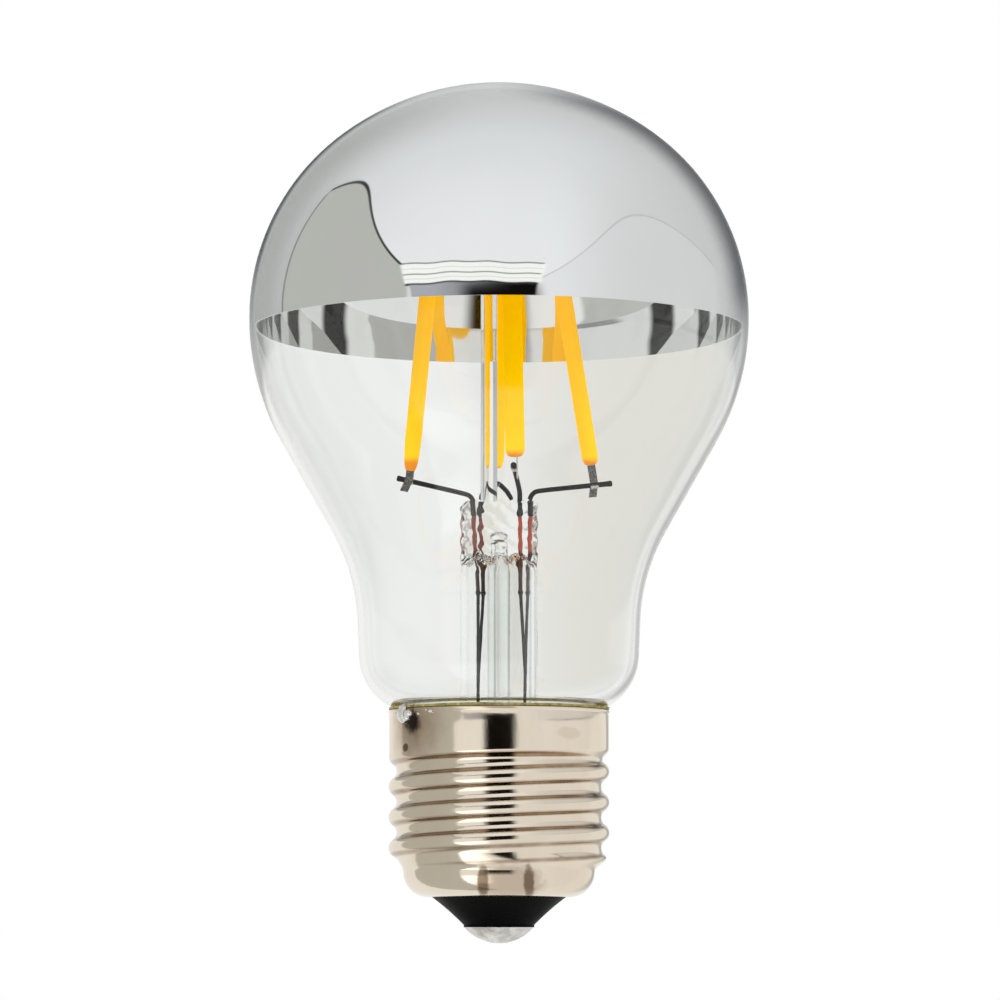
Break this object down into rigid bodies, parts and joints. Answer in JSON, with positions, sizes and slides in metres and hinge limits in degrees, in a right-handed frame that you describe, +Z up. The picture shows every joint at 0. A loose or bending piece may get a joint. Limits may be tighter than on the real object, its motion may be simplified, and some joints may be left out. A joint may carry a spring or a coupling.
{
  "type": "led filament bulb",
  "caption": "Half-mirror LED filament bulb: clear glass with a mirrored dome, upright filaments on a glass stem, and a nickel-plated screw cap for a 27 mm holder.",
  "frame": {"origin": "the lowest point of the centre contact, on the bulb's axis", "axes": "+Z up the bulb from the cap to the mirrored dome, -Y towards the viewer of the picture"},
  "size_m": [0.06, 0.06, 0.1031],
  "materials": {
    "clear_glass": "clear blown glass",
    "mirror": "silver coating on the inside of the glass",
    "stem_glass": "clear pressed and drawn glass",
    "dark_wire": "dark oxidised nickel wire",
    "copper_wire": "copper-clad wire, red in the glass",
    "lead_wire": "plain wire with a dark weld bead",
    "phosphor": "yellow phosphor in silicone, satin",
    "ceramic": "white ceramic with blue-grey chips",
    "tab_metal": "bright plated strip",
    "nickel": "nickel-plated sheet, warm, satin",
    "black_glass": "black glass",
    "contact_metal": "bright tin",
    "solder": "bright solder, uneven",
    "cement": "olive phenolic cement, matt",
    "board": "green laminate",
    "package": "black moulded package",
    "can_sleeve": "dark blue sleeve",
    "resistor": "beige lacquer"
  },
  "bodies": {
    "root": {"glass_bulb": "clear_glass", "mirror_coating": "mirror", "stem_flare": "stem_glass", "exhaust_tube": "stem_glass", "support_rod": "stem_glass", "bracket_wire_left": "dark_wire", "bracket_wire_front": "dark_wire", "bracket_wire_right": "dark_wire", "bracket_wire_back": "dark_wire", "seal_wire_left": "copper_wire", "seal_wire_front": "copper_wire", "seal_wire_right": "copper_wire", "seal_wire_back": "copper_wire", "lead_wire_left": "lead_wire", "lead_wire_front": "lead_wire", "lead_wire_right": "lead_wire", "lead_wire_back": "lead_wire", "filament_left": "phosphor", "filament_front": "phosphor", "filament_right": "phosphor", "filament_back": "phosphor", "chip_strip_left": "ceramic", "chip_strip_front": "ceramic", "chip_strip_right": "ceramic", "chip_strip_back": "ceramic", "lower_tab_left": "tab_metal", "lower_tab_front": "tab_metal", "lower_tab_right": "tab_metal", "lower_tab_back": "tab_metal", "upper_tab_left": "tab_metal", "upper_tab_front": "tab_metal", "upper_tab_right": "tab_metal", "upper_tab_back": "tab_metal", "top_wire_side": "dark_wire", "top_wire_depth": "dark_wire", "cap_shell": "nickel", "cap_insulator": "black_glass", "centre_contact": "contact_metal", "contact_solder": "solder", "side_solder": "solder", "capping_cement": "cement", "driver_board": "board", "bridge_rectifier": "package", "driver_chip": "package", "smoothing_capacitor": "can_sleeve", "fuse_resistor": "resistor", "sense_resistors": "package", "shell_lead": "lead_wire", "contact_lead": "lead_wire"}
  },
  "joints": []
}
